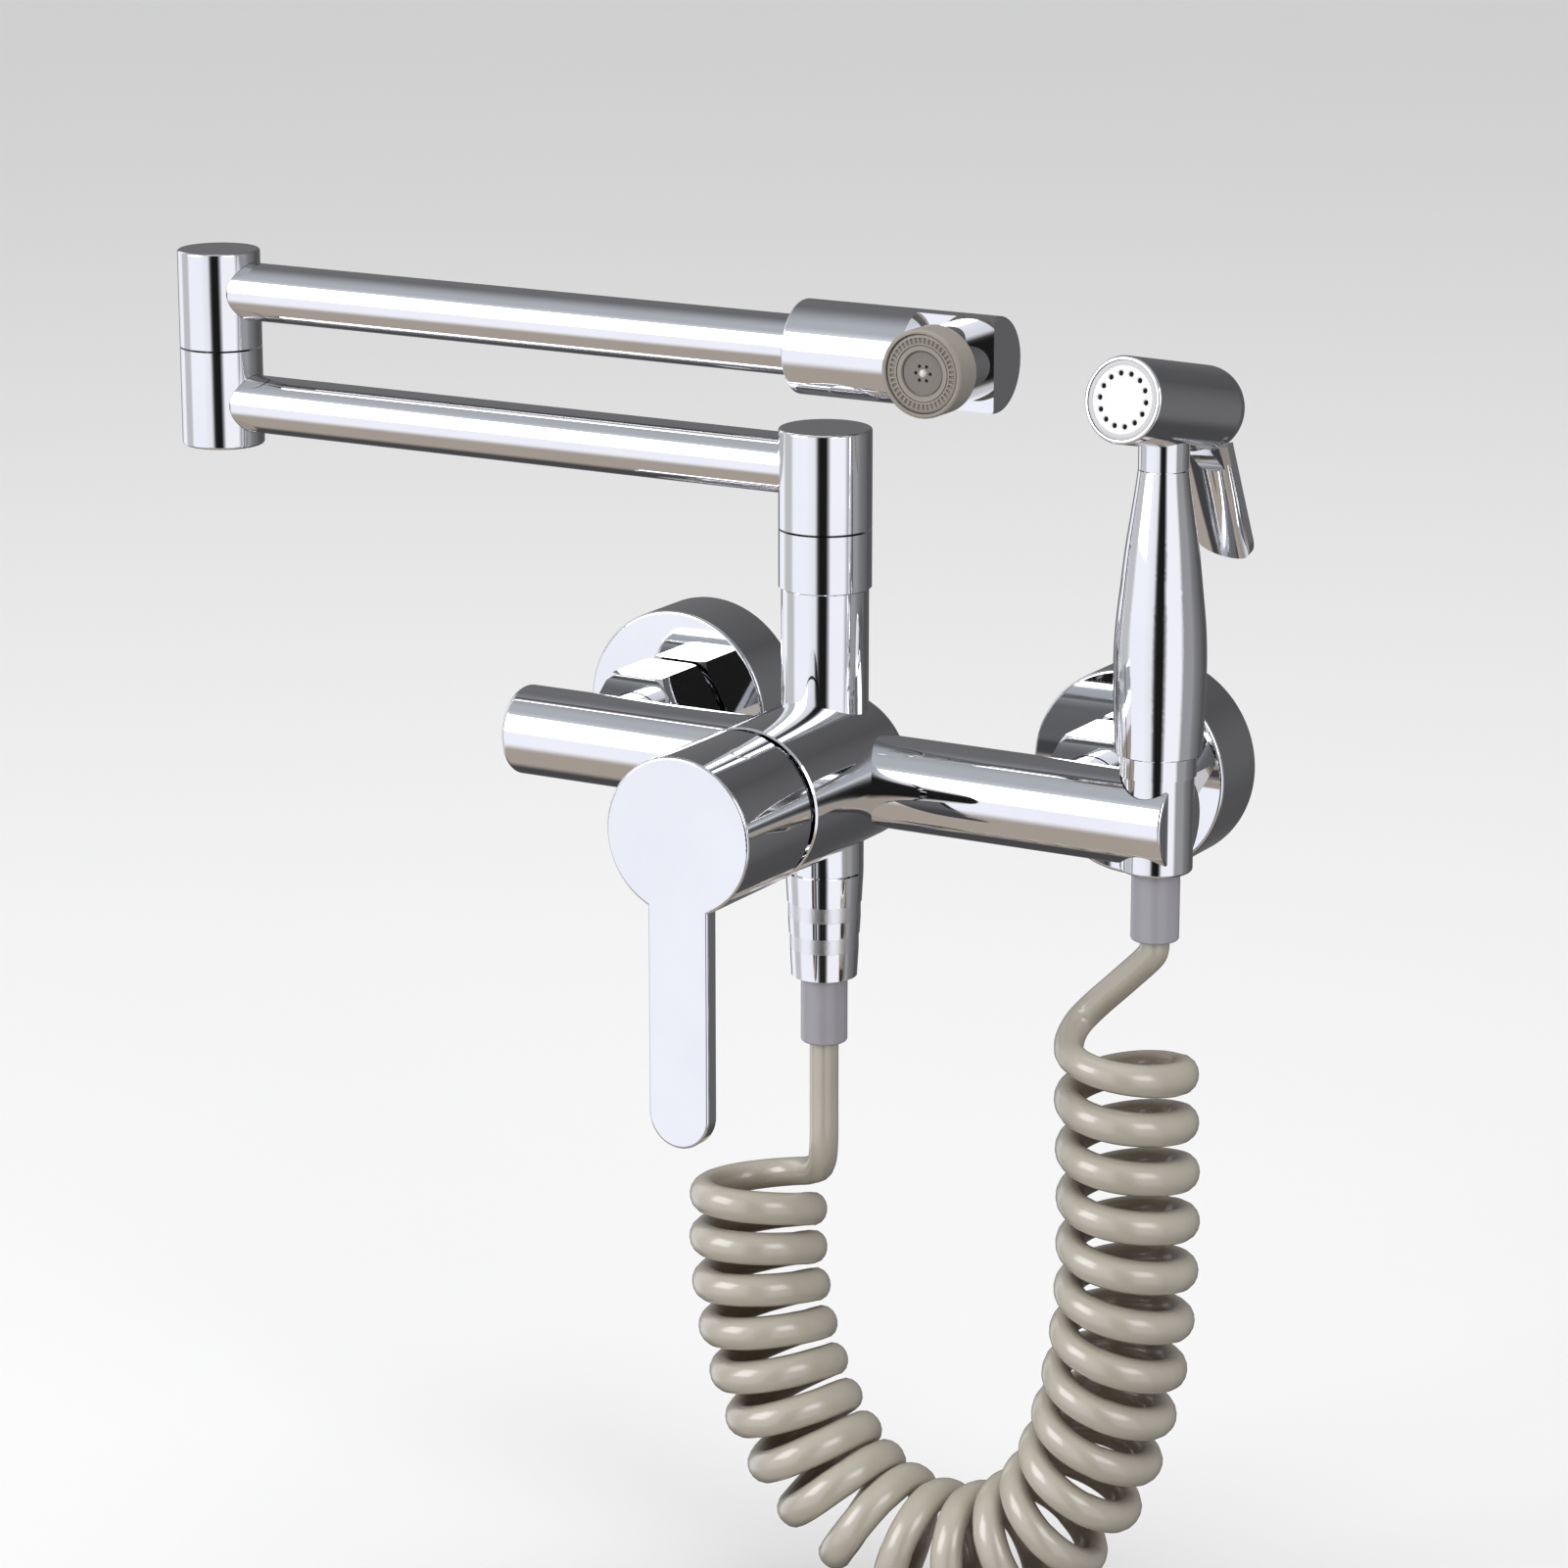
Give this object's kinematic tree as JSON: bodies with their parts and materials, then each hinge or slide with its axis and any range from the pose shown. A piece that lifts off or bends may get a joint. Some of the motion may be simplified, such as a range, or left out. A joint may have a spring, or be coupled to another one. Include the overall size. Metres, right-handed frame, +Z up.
{
  "type": "wall-mounted kitchen mixer with hand sprayer",
  "caption": "Wall-mounted kitchen mixer with a folding swivel spout, a front lever and a trigger hand sprayer that stands in the bar's end on a coiled hose.",
  "frame": {"origin": "midway between the two wall inlets, on the finished wall's plane", "axes": "+X to the right along the wall, +Y into the wall, +Z up"},
  "size_m": [0.3393, 0.1637, 0.3852],
  "materials": {
    "chrome": "polished mirror chrome",
    "brass": "turned brass",
    "seal_rubber": "matt",
    "steel": "bright stainless",
    "ceramic": "lapped ceramic",
    "cartridge_plastic": "moulded acetal",
    "aerator_plastic": "moulded taupe plastic",
    "sleeve_plastic": "pale translucent plastic",
    "white_plastic": "white moulded plastic",
    "hose": "glossy ivory plastic"
  },
  "bodies": {
    "mixer": {"left_wall_flange": "chrome", "right_wall_flange": "chrome", "left_wall_union": "brass", "right_wall_union": "brass", "left_union_nut": "chrome", "right_union_nut": "chrome", "inlet_washers": "seal_rubber", "inlet_strainers": "steel", "mixer_body": "chrome", "cartridge_base": "cartridge_plastic", "cartridge_seals": "seal_rubber", "fixed_ceramic_disc": "ceramic", "cartridge_housing": "cartridge_plastic", "cartridge_nut": "brass", "dome_cover": "chrome", "spout_nut": "chrome", "hose_washer_faucet": "seal_rubber", "hose_outlet_nut": "chrome", "hose_sleeve_faucet": "sleeve_plastic", "coil_hose": "hose"},
    "cartridge_rotor": {"cartridge_rotor": "cartridge_plastic", "cartridge_pin": "steel"},
    "lever": {"cartridge_stem": "steel", "lever_handle": "chrome", "handle_set_screw": "steel"},
    "mixing_disc": {"moving_ceramic_disc": "ceramic"},
    "spout_arm": {"spout_swivel_stem": "brass", "spout_orings": "seal_rubber", "spout_base": "chrome", "lower_arm": "chrome", "elbow_lower": "chrome", "elbow_plug": "chrome"},
    "spout_upper_arm": {"elbow_upper": "chrome", "elbow_stem": "brass", "elbow_orings": "seal_rubber", "elbow_clip": "steel", "upper_arm": "chrome", "outlet_clip": "steel", "outlet_orings": "seal_rubber"},
    "outlet": {"outlet_nut": "chrome", "outlet_head": "chrome", "aerator_washer": "seal_rubber", "aerator_shell": "aerator_plastic", "aerator_insert": "aerator_plastic"},
    "sprayer": {"sprayer_hose_nut": "chrome", "hose_washer_sprayer": "seal_rubber", "hose_sleeve_sprayer": "sleeve_plastic", "sprayer_handle": "chrome", "sprayer_head": "chrome", "spray_face": "white_plastic", "valve_seat": "cartridge_plastic", "valve_spring": "steel", "trigger_pin": "steel"},
    "trigger": {"trigger": "chrome"},
    "spray_valve": {"valve_stem": "brass", "valve_seal": "seal_rubber"}
  },
  "joints": [
    {"name": "spout_swivel", "type": "hinge", "parent": "mixer", "child": "spout_arm", "pos_m": [0, -0.064, 0.0884], "axis": [0, 0, 1], "range_deg": [-10, 140]},
    {"name": "elbow_swivel", "type": "hinge", "parent": "spout_arm", "child": "spout_upper_arm", "pos_m": [-0.208, -0.064, 0.1012], "axis": [0, 0, 1], "continuous": true},
    {"name": "outlet_swivel", "type": "hinge", "parent": "spout_upper_arm", "child": "outlet", "pos_m": [0.0042, -0.064, 0.1222], "axis": [1, 0, 0], "continuous": true},
    {"name": "handle_turn", "type": "hinge", "parent": "mixer", "child": "cartridge_rotor", "pos_m": [0, -0.1034, 0], "axis": [0, 1, 0], "range_deg": [-45, 45]},
    {"name": "handle_lift", "type": "hinge", "parent": "cartridge_rotor", "child": "lever", "pos_m": [0, -0.1034, 0], "axis": [-1, 0, 0], "range_deg": [0, 25]},
    {"name": "disc_slide", "type": "slide", "parent": "cartridge_rotor", "child": "mixing_disc", "axis": [0, 0, -1], "range_m": [0, 0.0035]},
    {"name": "sprayer_lift", "type": "slide", "parent": "mixer", "child": "sprayer", "axis": [0, 0, 1], "range_m": [0, 0.15], "deforming": ["coil_hose"]},
    {"name": "trigger_pull", "type": "hinge", "parent": "sprayer", "child": "trigger", "pos_m": [0.1067, -0.04809, 0.1045], "axis": [-0.9943, 0.1063, 0], "range_deg": [0, 15], "stiffness_Nm_per_rad": 1, "springref_deg": -5.73, "deforming": ["valve_spring"]},
    {"name": "valve_slide", "type": "slide", "parent": "sprayer", "child": "spray_valve", "axis": [0.1041, 0.9739, -0.2019], "range_m": [0, 0.0024]}
  ],
  "couplings": [
    {"joint": "disc_slide", "follows": "handle_lift", "m_per_rad": 0.0072},
    {"joint": "valve_slide", "follows": "trigger_pull", "m_per_rad": 0.008}
  ]
}
